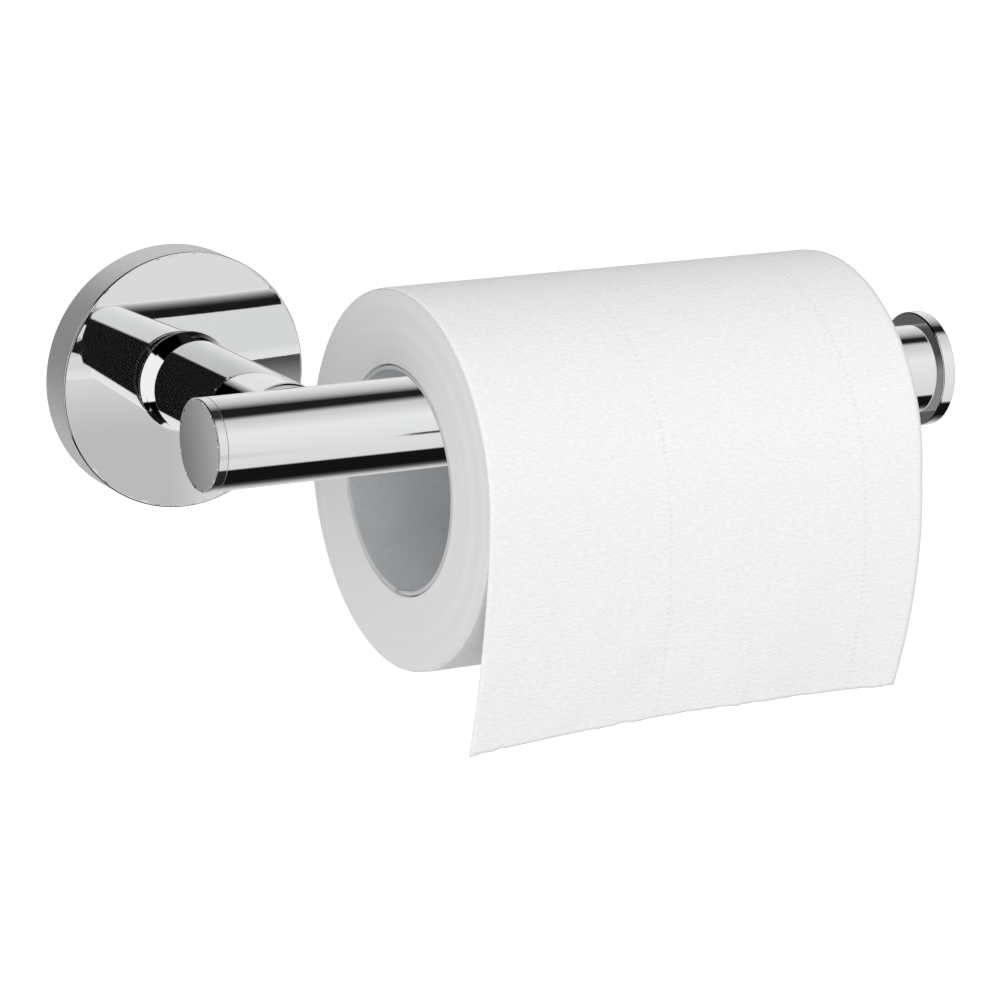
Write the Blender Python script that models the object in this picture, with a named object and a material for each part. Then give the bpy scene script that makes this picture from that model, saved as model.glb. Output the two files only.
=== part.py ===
"""Wall-mounted toilet paper holder with a paper roll on its bar, in metres, +Z up.

The wall is the plane y = 0 and the holder stands off it towards -Y. The bar runs along X. The origin
is the centre of the wall face. The roll hangs on the bar and turns about its own axis.
"""

import math

import bmesh
import bpy
from mathutils import Matrix, Vector

MM = 0.001
GAP = 0.3 * MM  # left between pieces that touch
SEAM = 0.2 * MM  # hairline left between polished pieces

FINE_SEGMENTS = 96
SEGMENTS = 64
SMALL_SEGMENTS = 32
SHARP_ANGLE = math.radians(35)

# Flange shell
FLANGE_RADIUS = 27.5 * MM
FLANGE_DEPTH = 9.6 * MM
FLANGE_FACE = 2.0 * MM
FLANGE_RIM = 1.5 * MM
FLANGE_EDGE = 0.4 * MM
FLANGE_DOME = 510.0 * MM  # radius of the face's slight dome
FLANGE_SEAT = 10.8 * MM  # flat patch in the middle, under the post's collar
DOME_STEPS = 6

# Post between the flange and the bar
POST_RADIUS = 9.8 * MM
POST_BACK = 15.5 * MM  # from the wall to where the post has its full width
POST_BACK_EDGE = 0.4 * MM
COLLAR_RADIUS = 10.67 * MM
COLLAR_LIP = 0.1 * MM
COLLAR_SLOPE = math.radians(37)  # between the collar's dished back and the post's axis
NECK_RADIUS = 7.9 * MM
BAR_FROM_WALL = 62.6 * MM
SADDLE_DEPTH = 4.6 * MM  # from the bar's axis back to the tips of the saddle

# Bar
BAR_RADIUS = 9.5 * MM
BAR_BORE = 8.3 * MM
BAR_LEFT = -18.9 * MM
BAR_RIGHT = 147.7 * MM
PLUG_RADIUS = BAR_BORE - GAP

# Ends of the bar
CAP_HEAD = 2.0 * MM
CAP_EDGE = 0.25 * MM
CAP_SHANK = 10.0 * MM
DISC_RADIUS = 12.4 * MM
DISC_THICKNESS = 3.0 * MM
DISC_EDGE = 0.3 * MM
DISC_SHANK = 12.0 * MM

# Tie bolt, which clamps the flange, the post and the bar together
BOLT_RADIUS = 2.5 * MM
BOLT_HEAD_RADIUS = 4.7 * MM
BOLT_HEAD_LENGTH = 2.2 * MM
BOLT_SOCKET = 1.5 * MM
BOLT_KEY = 4.0 * MM  # across the flats of the socket
BOLT_GRIP = 9.0 * MM  # length held by the insert
WASHER_THICKNESS = 0.8 * MM
SPRING_WASHER_THICKNESS = 1.0 * MM
SPRING_WASHER_SPLIT = 0.7 * MM
INSERT_LENGTH = 15.0 * MM

# Wall bracket inside the flange
BRACKET_RADIUS = 22.6 * MM
BRACKET_PLATE = 2.0 * MM
BRACKET_DEPTH = 6.4 * MM
BRACKET_RIM = 2.4 * MM
GROOVE_DEPTH = 0.6 * MM
SLOT_HALF_WIDTH = 2.2 * MM
SLOT_HALF_LENGTH = 4.2 * MM
SCREW_OFFSET = 12.0 * MM

# Wall screws, washers and plugs
SCREW_RADIUS = 1.75 * MM
SCREW_HEAD_RADIUS = 3.4 * MM
SCREW_HEAD = 2.2 * MM
SCREW_CROWN = 0.6 * MM
SCREW_TIP = 26.5 * MM
SCREW_POINT = 3.5 * MM  # length of the tapered tip
THREAD_DEPTH = 0.35 * MM
THREAD_PITCH = 1.4 * MM
DRIVE_ARM = 1.8 * MM
DRIVE_SLOT = 0.45 * MM
DRIVE_DEPTH = 1.1 * MM
WALL_WASHER_RADIUS = 4.8 * MM
WALL_PLUG_RADIUS = 3.0 * MM
WALL_PLUG_BORE = 2.1 * MM
WALL_PLUG_LENGTH = 24.0 * MM
WALL_PLUG_COLLAR = 0.5 * MM
WALL_PLUG_SLIT = 0.8 * MM
WALL_PLUG_SLIT_LENGTH = 16.8 * MM
WALL_PLUG_RIBS = 5
WALL_PLUG_RIB = 0.3 * MM
RIB_STEP = 0.9  # share of the ribs' spacing taken by each rib's slope

# Grub screw under the flange
GRUB_RADIUS = 1.9 * MM
GRUB_TOP = 27.2 * MM
GRUB_SOCKET = 1.0 * MM
GRUB_KEY = 2.0 * MM
GRUB_BOSS_RADIUS = 4.2 * MM
GRUB_BOSS_REACH = 23.4 * MM

# Paper roll
ROLL_LEFT = 24.5 * MM
ROLL_WIDTH = 101.5 * MM
ROLL_RADIUS = 39.2 * MM
CORE_BORE = 22.7 * MM
CORE_WALL = 0.9 * MM
ROLL_TOWARDS_WALL = 2.7 * MM
ROLL_FROM_WALL = BAR_FROM_WALL - ROLL_TOWARDS_WALL
ROLL_DROP = math.sqrt((CORE_BORE - BAR_RADIUS - GAP) ** 2 - ROLL_TOWARDS_WALL**2)

# Loose end of the paper
TAIL_THICKNESS = 0.4 * MM
TAIL_WRAP = math.radians(75)  # how far it lies on the roll above the point where it leaves
TAIL_DROP = 48.0 * MM
TAIL_CURL = 6.5 * MM

CHROME = ((0.82, 0.83, 0.84), 0.05, 1.0)
ZINC = ((0.55, 0.56, 0.57), 0.4, 1.0)
BRASS = ((0.72, 0.55, 0.28), 0.3, 1.0)
STEEL = ((0.62, 0.63, 0.64), 0.3, 1.0)
NYLON = ((0.45, 0.46, 0.48), 0.5, 0.0)
CARD = ((0.36, 0.35, 0.33), 0.9, 0.0)
PAPER = ((0.9, 0.9, 0.89), 0.95, 0.0)


def clear_scene():
    for obj in list(bpy.data.objects):
        bpy.data.objects.remove(obj, do_unlink=True)


def material(name, finish):
    colour, roughness, metallic = finish
    made = bpy.data.materials.new(name)
    made.use_nodes = True
    shader = made.node_tree.nodes["Principled BSDF"]
    shader.inputs["Base Color"].default_value = (*colour, 1.0)
    shader.inputs["Roughness"].default_value = roughness
    shader.inputs["Metallic"].default_value = metallic
    return made


def part(name, mesh_builder, finish, place):
    """A named object holding the built mesh, moved to its place in the assembly."""
    mesh = bpy.data.meshes.new(name)
    bmesh.ops.recalc_face_normals(mesh_builder, faces=mesh_builder.faces)
    mesh_builder.to_mesh(mesh)
    mesh_builder.free()
    mesh.shade_smooth()
    mesh.set_sharp_from_angle(angle=SHARP_ANGLE)
    mesh.materials.append(material(name + "_finish", finish))
    obj = bpy.data.objects.new(name, mesh)
    bpy.context.scene.collection.objects.link(obj)
    obj.matrix_world = place
    return obj


def turned(profile, segments):
    """A solid turned about Z from a closed outline of (radius, height) points."""
    built = bmesh.new()
    rings = []
    for radius, height in profile:
        if radius == 0:
            rings.append([built.verts.new((0, 0, height))])
            continue
        angles = (2 * math.pi * i / segments for i in range(segments))
        around = [(radius * math.cos(a), radius * math.sin(a), height) for a in angles]
        rings.append([built.verts.new(point) for point in around])
    for low, high in zip(rings, rings[1:] + rings[:1]):
        for i in range(segments):
            j = (i + 1) % segments
            corners = [low[i % len(low)], low[j % len(low)], high[j % len(high)], high[i % len(high)]]
            corners = list(dict.fromkeys(corners))
            if len(corners) > 2:
                built.faces.new(corners)
    return built


def facing(direction, at):
    """Places a shape built along +Z so that its Z axis points along direction, from the point at."""
    turn = Vector((0, 0, 1)).rotation_difference(Vector(direction))
    return Matrix.Translation(at) @ turn.to_matrix().to_4x4()


OUTWARD = (0, -1, 0)
INWARD = (0, 1, 0)
ALONG_BAR = (1, 0, 0)
DOWN = (0, 0, -1)


def cut(obj, cutter, operation="DIFFERENCE"):
    cutter.hide_render = True
    cutter.display_type = "WIRE"
    modifier = obj.modifiers.new(cutter.name, "BOOLEAN")
    modifier.object = cutter
    modifier.operation = operation


def round_cutter(name, radius, length, direction, start, segments=SMALL_SEGMENTS):
    profile = [(0, 0), (radius, 0), (radius, length), (0, length)]
    return part(name, turned(profile, segments), STEEL, facing(direction, start))


def box_cutter(name, size, place):
    built = bmesh.new()
    bmesh.ops.create_cube(built, size=1, matrix=Matrix.Diagonal((*size, 1)))
    return part(name, built, STEEL, place)


def hexagon_cutter(name, across, length, direction, start):
    return round_cutter(name, across / math.sqrt(3), length, direction, start, segments=6)


def dome(radius):
    """How far the flange's face stands from the wall at this radius."""
    edge = FLANGE_RADIUS - FLANGE_EDGE
    return FLANGE_DEPTH + (edge**2 - max(radius, FLANGE_SEAT) ** 2) / (2 * FLANGE_DOME)


def flange():
    """The cup-shaped cover that hides the bracket, with a boss inside for the grub screw."""
    inner = FLANGE_RADIUS - FLANGE_RIM
    edge = FLANGE_RADIUS - FLANGE_EDGE
    profile = [
        (BOLT_RADIUS + GAP, FLANGE_DEPTH - FLANGE_FACE),
        (inner, FLANGE_DEPTH - FLANGE_FACE),
        (inner, 0),
        (edge, 0),
        (FLANGE_RADIUS, FLANGE_EDGE),
        (FLANGE_RADIUS, FLANGE_DEPTH - FLANGE_EDGE),
    ]
    for i in range(DOME_STEPS + 1):
        radius = edge + (FLANGE_SEAT - edge) * i / DOME_STEPS
        profile.append((radius, dome(radius)))
    profile.append((BOLT_RADIUS + GAP, dome(0)))
    cover = part("flange", turned(profile, FINE_SEGMENTS), CHROME, facing(OUTWARD, (0, 0, 0)))
    height = FLANGE_DEPTH / 2
    boss_end = inner + FLANGE_RIM / 2
    boss = round_cutter(
        "grub_boss", GRUB_BOSS_RADIUS, boss_end - GRUB_BOSS_REACH, DOWN, (0, -height, -GRUB_BOSS_REACH)
    )
    cut(cover, boss, "UNION")
    hole = round_cutter(
        "grub_hole", GRUB_RADIUS + GAP, FLANGE_RADIUS, DOWN, (0, -height, -GRUB_BOSS_REACH / 2)
    )
    cut(cover, hole)


def post():
    """The round arm: a dished collar on the flange, a neck, and a saddle cut to sit against the bar."""
    start = dome(0) + SEAM
    lip = start + COLLAR_LIP
    end = BAR_FROM_WALL - SADDLE_DEPTH
    bore = BOLT_RADIUS + GAP
    profile = [
        (bore, start),
        (COLLAR_RADIUS, start),
        (COLLAR_RADIUS, lip),
        (NECK_RADIUS, lip + (COLLAR_RADIUS - NECK_RADIUS) / math.tan(COLLAR_SLOPE)),
        (NECK_RADIUS, POST_BACK),
        (POST_RADIUS - POST_BACK_EDGE, POST_BACK),
        (POST_RADIUS, POST_BACK + POST_BACK_EDGE),
        (POST_RADIUS, end),
        (bore, end),
    ]
    arm = part("post", turned(profile, SEGMENTS), CHROME, facing(OUTWARD, (0, 0, 0)))
    reach = 2 * POST_RADIUS
    saddle = round_cutter(
        "saddle_cut", BAR_RADIUS + SEAM, 2 * reach, ALONG_BAR, (-reach, -BAR_FROM_WALL, 0), SEGMENTS
    )
    cut(arm, saddle)


def bar_tube():
    profile = [
        (BAR_BORE, BAR_LEFT),
        (BAR_RADIUS, BAR_LEFT),
        (BAR_RADIUS, BAR_RIGHT),
        (BAR_BORE, BAR_RIGHT),
    ]
    tube = part("bar_tube", turned(profile, SEGMENTS), CHROME, facing(ALONG_BAR, (0, -BAR_FROM_WALL, 0)))
    hole = round_cutter("bar_bolt_hole", BOLT_RADIUS + GAP, 2 * BAR_RADIUS, INWARD, (0, -BAR_FROM_WALL, 0))
    cut(tube, hole)


def bar_insert():
    """The brass slug inside the bar that the tie bolt screws into."""
    half = INSERT_LENGTH / 2
    edge = 0.5 * MM
    profile = [
        (0, -half),
        (PLUG_RADIUS - edge, -half),
        (PLUG_RADIUS, -half + edge),
        (PLUG_RADIUS, half - edge),
        (PLUG_RADIUS - edge, half),
        (0, half),
    ]
    slug = part("bar_insert", turned(profile, SEGMENTS), BRASS, facing(ALONG_BAR, (0, -BAR_FROM_WALL, 0)))
    depth = BOLT_GRIP - PLUG_RADIUS + 2 * GAP
    start = (0, -BAR_FROM_WALL - depth, 0)
    cut(slug, round_cutter("insert_hole", BOLT_RADIUS + GAP, 2 * PLUG_RADIUS, INWARD, start))


def bar_end(name, direction, tube_end, head, head_radius, edge, shank):
    """A turned plug with a head that closes one end of the bar. Its outline starts at the tube's end."""
    profile = [
        (0, SEAM + head),
        (head_radius - edge, SEAM + head),
        (head_radius, SEAM + head - edge),
        (head_radius, SEAM + edge),
        (head_radius - edge, SEAM),
        (PLUG_RADIUS, SEAM),
        (PLUG_RADIUS, edge - shank),
        (PLUG_RADIUS - edge, -shank),
        (0, -shank),
    ]
    part(name, turned(profile, FINE_SEGMENTS), CHROME, facing(direction, (tube_end, -BAR_FROM_WALL, 0)))


def washer(name, inner, outer, thickness, back, z):
    """A flat ring whose back face is the given distance from the wall."""
    profile = [(inner, 0), (outer, 0), (outer, thickness), (inner, thickness)]
    return part(name, turned(profile, SMALL_SEGMENTS), STEEL, facing(OUTWARD, (0, -back, z)))


def tie_bolt():
    """A socket-head bolt from behind the flange, through its washers and the post, into the slug."""
    hole = BOLT_RADIUS + GAP
    flat_back = FLANGE_DEPTH - FLANGE_FACE - GAP - WASHER_THICKNESS
    washer("tie_bolt_washer", hole, BOLT_HEAD_RADIUS, WASHER_THICKNESS, flat_back, 0)
    spring_back = flat_back - GAP - SPRING_WASHER_THICKNESS
    spring = washer("spring_washer", hole, BOLT_HEAD_RADIUS - GAP, SPRING_WASHER_THICKNESS, spring_back, 0)
    split = (SPRING_WASHER_SPLIT, 4 * SPRING_WASHER_THICKNESS, BOLT_HEAD_RADIUS)
    where = Matrix.Translation((0, -spring_back, BOLT_HEAD_RADIUS))
    cut(spring, box_cutter("spring_split", split, where))
    head_top = spring_back - GAP
    head_back = head_top - BOLT_HEAD_LENGTH
    end = BAR_FROM_WALL - PLUG_RADIUS + BOLT_GRIP
    edge = 0.4 * MM
    profile = [
        (0, head_back),
        (BOLT_HEAD_RADIUS - edge, head_back),
        (BOLT_HEAD_RADIUS, head_back + edge),
        (BOLT_HEAD_RADIUS, head_top),
        (BOLT_RADIUS, head_top),
        (BOLT_RADIUS, end - edge),
        (BOLT_RADIUS - edge, end),
        (0, end),
    ]
    bolt = part("tie_bolt", turned(profile, SMALL_SEGMENTS), STEEL, facing(OUTWARD, (0, 0, 0)))
    start = (0, BOLT_SOCKET - head_back, 0)
    cut(bolt, hexagon_cutter("bolt_socket", BOLT_KEY, 2 * BOLT_SOCKET, OUTWARD, start))


def slot_cutter(name, z):
    """A slot with round ends along X, cut through the bracket's plate at height z."""
    built = bmesh.new()
    half = SMALL_SEGMENTS // 2
    straight = SLOT_HALF_LENGTH - SLOT_HALF_WIDTH
    outline = []
    for side in (1, -1):
        for i in range(half + 1):
            angle = math.pi * i / half - math.pi / 2
            x = side * (straight + SLOT_HALF_WIDTH * math.cos(angle))
            outline.append(built.verts.new((x, BRACKET_PLATE, z + side * SLOT_HALF_WIDTH * math.sin(angle))))
    face = built.faces.new(outline)
    moved = bmesh.ops.extrude_face_region(built, geom=[face])["geom"]
    verts = [item for item in moved if isinstance(item, bmesh.types.BMVert)]
    bmesh.ops.translate(built, verts=verts, vec=(0, -3 * BRACKET_PLATE, 0))
    return part(name, built, ZINC, Matrix.Identity(4))


def wall_bracket():
    """The dished plate screwed to the wall. The grub screw bites in the groove round its rim."""
    groove = BRACKET_DEPTH - FLANGE_DEPTH / 2
    groove_at = FLANGE_DEPTH / 2
    inner = BRACKET_RADIUS - BRACKET_RIM
    profile = [
        (0, 0),
        (BRACKET_RADIUS, 0),
        (BRACKET_RADIUS, groove_at - groove),
        (BRACKET_RADIUS - GROOVE_DEPTH, groove_at),
        (BRACKET_RADIUS, BRACKET_DEPTH - GAP),
        (BRACKET_RADIUS - GAP, BRACKET_DEPTH),
        (inner, BRACKET_DEPTH),
        (inner, BRACKET_PLATE),
        (0, BRACKET_PLATE),
    ]
    plate = part("wall_bracket", turned(profile, FINE_SEGMENTS), ZINC, facing(OUTWARD, (0, 0, 0)))
    for side, z in (("upper", SCREW_OFFSET), ("lower", -SCREW_OFFSET)):
        cut(plate, slot_cutter("bracket_slot_" + side, z))


def grub_screw():
    """The set screw in the underside of the flange, with its hexagon socket facing down."""
    height = FLANGE_DEPTH / 2
    point = BRACKET_RADIUS - GROOVE_DEPTH + 2 * GAP
    cone = 1.2 * MM
    profile = [
        (0, point),
        (GRUB_RADIUS / 3, point),
        (GRUB_RADIUS, point + cone),
        (GRUB_RADIUS, GRUB_TOP),
        (0, GRUB_TOP),
    ]
    screw = part("grub_screw", turned(profile, SMALL_SEGMENTS), STEEL, facing(DOWN, (0, -height, 0)))
    start = (0, -height, GRUB_SOCKET - GRUB_TOP)
    cut(screw, hexagon_cutter("grub_socket", GRUB_KEY, 2 * GRUB_SOCKET, DOWN, start))


def cross_cutter(name, at):
    """An upright cross, to sink the drive recess in a screw's head."""
    built = bmesh.new()
    outline = []
    for quarter in range(4):
        turn = Matrix.Rotation(quarter * math.pi / 2, 3, "Z")
        for x, y in ((DRIVE_ARM, -DRIVE_SLOT), (DRIVE_ARM, DRIVE_SLOT), (DRIVE_SLOT, DRIVE_SLOT)):
            outline.append(built.verts.new(turn @ Vector((x, y, 0))))
    face = built.faces.new(outline)
    moved = bmesh.ops.extrude_face_region(built, geom=[face])["geom"]
    verts = [item for item in moved if isinstance(item, bmesh.types.BMVert)]
    bmesh.ops.translate(built, verts=verts, vec=(0, 0, 2 * DRIVE_DEPTH))
    return part(name, built, STEEL, facing(OUTWARD, at))


def wall_screw(side, z):
    """A pan-head screw whose threaded shank runs back into the wall plug."""
    washer_back = BRACKET_PLATE + GAP
    hole = SCREW_RADIUS + GAP
    washer("wall_washer_" + side, hole, WALL_WASHER_RADIUS, WASHER_THICKNESS, washer_back, z)
    seat = washer_back + WASHER_THICKNESS + GAP
    profile = [
        (0, seat + SCREW_HEAD),
        (SCREW_HEAD_RADIUS - SCREW_CROWN, seat + SCREW_HEAD),
        (SCREW_HEAD_RADIUS, seat + SCREW_HEAD - SCREW_CROWN),
        (SCREW_HEAD_RADIUS, seat),
        (SCREW_RADIUS, seat),
    ]
    depth = 0.0
    while depth < SCREW_TIP - SCREW_POINT:
        profile += [(SCREW_RADIUS, -depth), (SCREW_RADIUS - THREAD_DEPTH, -depth - THREAD_PITCH / 2)]
        depth += THREAD_PITCH
    profile += [(SCREW_RADIUS, -depth), (0, -SCREW_TIP)]
    solid = turned(profile, SMALL_SEGMENTS // 2)
    screw = part("wall_screw_" + side, solid, STEEL, facing(OUTWARD, (0, 0, z)))
    cut(screw, cross_cutter("drive_" + side, (0, -seat - SCREW_HEAD + DRIVE_DEPTH, z)))


def wall_plug(side, z):
    """A nylon plug with a thin collar, ribbed outside and slit from its far end."""
    spacing = WALL_PLUG_LENGTH / (WALL_PLUG_RIBS + 2)
    root = WALL_PLUG_RADIUS - WALL_PLUG_RIB
    profile = [
        (WALL_PLUG_BORE, GAP),
        (WALL_PLUG_RADIUS + WALL_PLUG_COLLAR, GAP),
        (WALL_PLUG_RADIUS + WALL_PLUG_COLLAR, GAP + WALL_PLUG_COLLAR),
        (WALL_PLUG_RADIUS, GAP + WALL_PLUG_COLLAR),
    ]
    for i in range(1, WALL_PLUG_RIBS + 1):
        profile += [(root, i * spacing), (WALL_PLUG_RADIUS, (i + RIB_STEP) * spacing)]
    profile += [(root - WALL_PLUG_RIB, WALL_PLUG_LENGTH), (WALL_PLUG_BORE, WALL_PLUG_LENGTH)]
    plug = part("wall_plug_" + side, turned(profile, SMALL_SEGMENTS), NYLON, facing(INWARD, (0, 0, z)))
    slit = (WALL_PLUG_SLIT, 2 * WALL_PLUG_SLIT_LENGTH, 3 * WALL_PLUG_RADIUS)
    where = Matrix.Translation((0, WALL_PLUG_LENGTH, z))
    cut(plug, box_cutter("plug_slit_" + side, slit, where))


def roll_layer(name, inner, outer, finish):
    """A plain ring of the roll's full width, with its origin on the axis that the roll turns about."""
    profile = [(inner, 0), (outer, 0), (outer, ROLL_WIDTH), (inner, ROLL_WIDTH)]
    place = facing(ALONG_BAR, (ROLL_LEFT, -ROLL_FROM_WALL, -ROLL_DROP))
    part(name, turned(profile, FINE_SEGMENTS), finish, place)


def paper_tail():
    """The loose end: a curved sheet that lies on the front of the roll and then hangs."""
    wrap_steps, hang_steps = 12, 14
    inner = ROLL_RADIUS + GAP
    path = []
    for i in range(wrap_steps):
        angle = TAIL_WRAP * (1 - i / wrap_steps)
        outward = Vector((0, -math.cos(angle), math.sin(angle)))
        path.append((Vector((0, -ROLL_FROM_WALL, -ROLL_DROP)) + inner * outward, outward))
    for i in range(hang_steps + 1):
        share = i / hang_steps
        slope = 2 * TAIL_CURL * share / TAIL_DROP
        outward = Vector((0, -1, -slope)).normalized()
        y = -ROLL_FROM_WALL - inner + TAIL_CURL * share**2
        path.append((Vector((0, y, -ROLL_DROP - TAIL_DROP * share)), outward))
    built = bmesh.new()
    rows = []
    for point, outward in path:
        rows.append([built.verts.new(point), built.verts.new(point + TAIL_THICKNESS * outward)])
    faces = [built.faces.new((a[0], a[1], b[1], b[0])) for a, b in zip(rows, rows[1:])]
    moved = bmesh.ops.extrude_face_region(built, geom=faces)["geom"]
    verts = [item for item in moved if isinstance(item, bmesh.types.BMVert)]
    bmesh.ops.translate(built, verts=verts, vec=(ROLL_WIDTH, 0, 0))
    part("paper_tail", built, PAPER, Matrix.Translation((ROLL_LEFT, 0, 0)))


clear_scene()
flange()
post()
bar_tube()
bar_insert()
bar_end("end_cap", (-1, 0, 0), BAR_LEFT, CAP_HEAD, BAR_RADIUS, CAP_EDGE, CAP_SHANK)
bar_end("end_disc", ALONG_BAR, BAR_RIGHT, DISC_THICKNESS, DISC_RADIUS, DISC_EDGE, DISC_SHANK)
tie_bolt()
wall_bracket()
grub_screw()
for position, offset in (("upper", SCREW_OFFSET), ("lower", -SCREW_OFFSET)):
    wall_screw(position, offset)
    wall_plug(position, offset)
roll_layer("cardboard_core", CORE_BORE, CORE_BORE + CORE_WALL, CARD)
roll_layer("paper_roll", CORE_BORE + CORE_WALL + GAP, ROLL_RADIUS, PAPER)
paper_tail()
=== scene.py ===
"""Toilet paper holder in polished chrome, with a paper roll on its bar.

Each section makes one piece or a group of like pieces, in the order in which the holder goes together:
the plugs in the wall, the bracket, its screws, the fixings inside, the cover, the arm, the bar and its
two ends, then the roll's core, its wound paper and its loose end.
"""

import math

import bmesh
import bpy
from mathutils import Matrix, Vector, noise


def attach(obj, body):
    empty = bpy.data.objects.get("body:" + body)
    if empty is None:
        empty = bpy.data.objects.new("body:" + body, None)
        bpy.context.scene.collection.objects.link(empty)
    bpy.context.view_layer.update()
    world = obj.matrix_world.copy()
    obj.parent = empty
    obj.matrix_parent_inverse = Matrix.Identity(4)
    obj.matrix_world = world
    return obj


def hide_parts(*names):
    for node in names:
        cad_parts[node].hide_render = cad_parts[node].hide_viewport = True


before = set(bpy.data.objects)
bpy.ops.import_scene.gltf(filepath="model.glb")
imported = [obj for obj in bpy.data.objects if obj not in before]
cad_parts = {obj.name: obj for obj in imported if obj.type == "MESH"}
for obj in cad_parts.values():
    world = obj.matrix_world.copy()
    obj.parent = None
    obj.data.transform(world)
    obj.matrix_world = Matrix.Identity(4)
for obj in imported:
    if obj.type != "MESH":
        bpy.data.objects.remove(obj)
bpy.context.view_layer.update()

# ---------------------------------------------------------------------------------------------------
# The studio: a long lens from the left front, a little above the bar, in a soft white tent with black
# flags overhead, below and beside the lens, which draw the dark bands along the chrome.
# The floor is white vinyl, far below the holder, which hangs where its wall would hold it.

LENS_MM = 151.4
LENS_AT = Vector((-0.35833, -0.79652, 0.20022))
LENS_TURN = 0.5046
LENS_DOWN = 0.2551
LENS_LEAN = 0.0202

aim = Vector(
    (
        math.sin(LENS_TURN) * math.cos(LENS_DOWN),
        math.cos(LENS_TURN) * math.cos(LENS_DOWN),
        -math.sin(LENS_DOWN),
    )
)
level = Vector((math.cos(LENS_TURN), -math.sin(LENS_TURN), 0))
upright = level.cross(aim)
lens_right = math.cos(LENS_LEAN) * level + math.sin(LENS_LEAN) * upright
lens_top = math.cos(LENS_LEAN) * upright - math.sin(LENS_LEAN) * level
lens_axes = Matrix((lens_right, lens_top, -aim)).transposed().to_4x4()

camera_data = bpy.data.cameras.new("camera")
camera_data.lens = LENS_MM
camera_data.sensor_width = 36
camera_data.clip_start = 0.01
camera = bpy.data.objects.new("camera", camera_data)
camera.matrix_world = Matrix.Translation(LENS_AT) @ lens_axes
bpy.context.scene.collection.objects.link(camera)
bpy.context.scene.camera = camera
bpy.context.scene.view_settings.view_transform = "Standard"

# What the chrome mirrors. Angles are degrees round from the front towards the right, degrees up from
# level, or degrees over the back, from straight down to straight up. Other places are parts of a unit
# direction: x to the right, y to the back, z up.
MIRROR_LEVEL = 0.73
KEY_ROUND = (-6, 80)
KEY_RISE = (-48, 60)
KEY_DIM_RISE = (-24, -13.8)  # a dimmer patch low on the key panel's left
KEY_DIM_X = (0.44, 0.38)
KEY_DIM = 0.72
SWEEP_TOP = 1.25
SWEEP_LOWER = ((-80, 0.01), (-68, 0.13), (-56, 0.54), (-44, 0.91), (-30, 0.95), (-9, 0.78))
SWEEP_UPPER = ((3, 0.93), (15, 1.2), (27, 1.16), (39, 1.04), (51, 0.91), (63, 0.68), (75, 0.23), (80, 0.02))
STRIP_ROUND = (-95, -57)
STRIP_RISE = (-40, 45)
STRIP_LEVEL = 1.35
CARD_X = (0.45, 0.53)
CARD_RISE = (-14.4, -9)
BAND_OVER = (0, 88, 113, 111)  # where the dark band starts, is full, and where it stops at a hard edge
GLINT_X = (-0.62, -0.545)
DARKEST = 0.008
SOFT_SLOPE = (-0.31, -0.45, 0.13)
SOFT_LEVEL = 0.64
SECOND_MIRROR = 2.5  # a ray that has left two chrome surfaces is deeper than this


def add(tree, kind, *values, out=0, **settings):
    """One node of a tree, with its settings and its inputs in order: a socket to join, a value, or None."""
    node = tree.nodes.new("ShaderNode" + kind)
    for name, value in settings.items():
        setattr(node, name, value)
    for socket, value in zip(node.inputs, values):
        if isinstance(value, bpy.types.NodeSocket):
            tree.links.new(value, socket)
        elif value is not None:
            socket.default_value = value
    return node.outputs[out] if node.outputs else node


def sums(tree, operation, first, *others):
    """A Math node with the given operation, and one more for each value after the second."""
    if not others:
        return add(tree, "Math", first, operation=operation)
    for other in others:
        first = add(tree, "Math", first, other, operation=operation)
    return first


def axes(tree, vector):
    """The three parts of a vector."""
    split = tree.nodes.new("ShaderNodeSeparateXYZ")
    tree.links.new(vector, split.inputs[0])
    return split.outputs


def fade(tree, value, start, end):
    """0 before start, 1 after end, with a soft step between."""
    return add(tree, "MapRange", value, start, end, 0.0, 1.0, interpolation_type="SMOOTHSTEP")


def window(tree, value, ends, soft_low, soft_high):
    """1 between the two ends, fading to 0 outside them."""
    rise = fade(tree, value, ends[0] - soft_low, ends[0] + soft_low)
    fall = fade(tree, value, ends[1] + soft_high, ends[1] - soft_high)
    return sums(tree, "MULTIPLY", rise, fall)


def ramp(tree, value, stops):
    """A colour ramp from (place, brightness or colour) stops."""
    node = tree.nodes.new("ShaderNodeValToRGB")
    tree.links.new(value, node.inputs[0])
    while len(node.color_ramp.elements) < len(stops):
        node.color_ramp.elements.new(0.5)
    for element, (place, colour) in zip(node.color_ramp.elements, stops):
        element.position = place
        element.color = (*colour, 1) if isinstance(colour, tuple) else (colour, colour, colour, 1)
    return node.outputs[0]


def relief(tree, height, strength, distance):
    """A Bump node over a height, distance metres deep."""
    node = tree.nodes.new("ShaderNodeBump")
    node.inputs["Strength"].default_value = strength
    node.inputs["Distance"].default_value = distance
    tree.links.new(height, node.inputs["Height"])
    return node.outputs[0]


def start_finish(name):
    """A new material, its node tree and its shader."""
    finish = bpy.data.materials.new(name)
    finish.use_nodes = True
    return finish, finish.node_tree, finish.node_tree.nodes["Principled BSDF"]


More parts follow.
